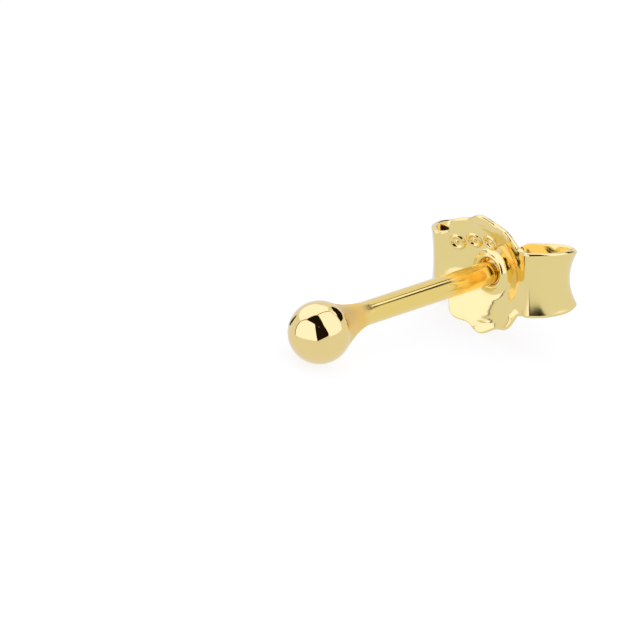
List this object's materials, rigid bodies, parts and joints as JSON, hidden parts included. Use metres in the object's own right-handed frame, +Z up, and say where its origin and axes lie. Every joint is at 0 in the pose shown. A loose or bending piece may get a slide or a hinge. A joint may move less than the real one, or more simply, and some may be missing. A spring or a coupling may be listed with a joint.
{
  "type": "ball stud earring",
  "caption": "Small polished ball on a straight post, with a pressed butterfly back that slides along the post to hold it in a pierced ear.",
  "frame": {"origin": "on the surface the earring rests on, under the middle of its bounding box", "axes": "+Z up, +Y along the post in plan, from the ball to the butterfly back, +X across the back's strips"},
  "size_m": [0.0058, 0.0118, 0.0038],
  "materials": {
    "polished_gold": "mirror-polished pale yellow gold",
    "pressed_gold": "pressed and polished pale yellow gold sheet"
  },
  "bodies": {
    "stud": {"ball_stud": "polished_gold"},
    "back": {"butterfly_back": "pressed_gold"}
  },
  "joints": [
    {"name": "back_slide", "type": "slide", "parent": "stud", "child": "back", "axis": [0, 0.9956, 0.0937], "range_m": [-0.0059, 0.00375]}
  ]
}
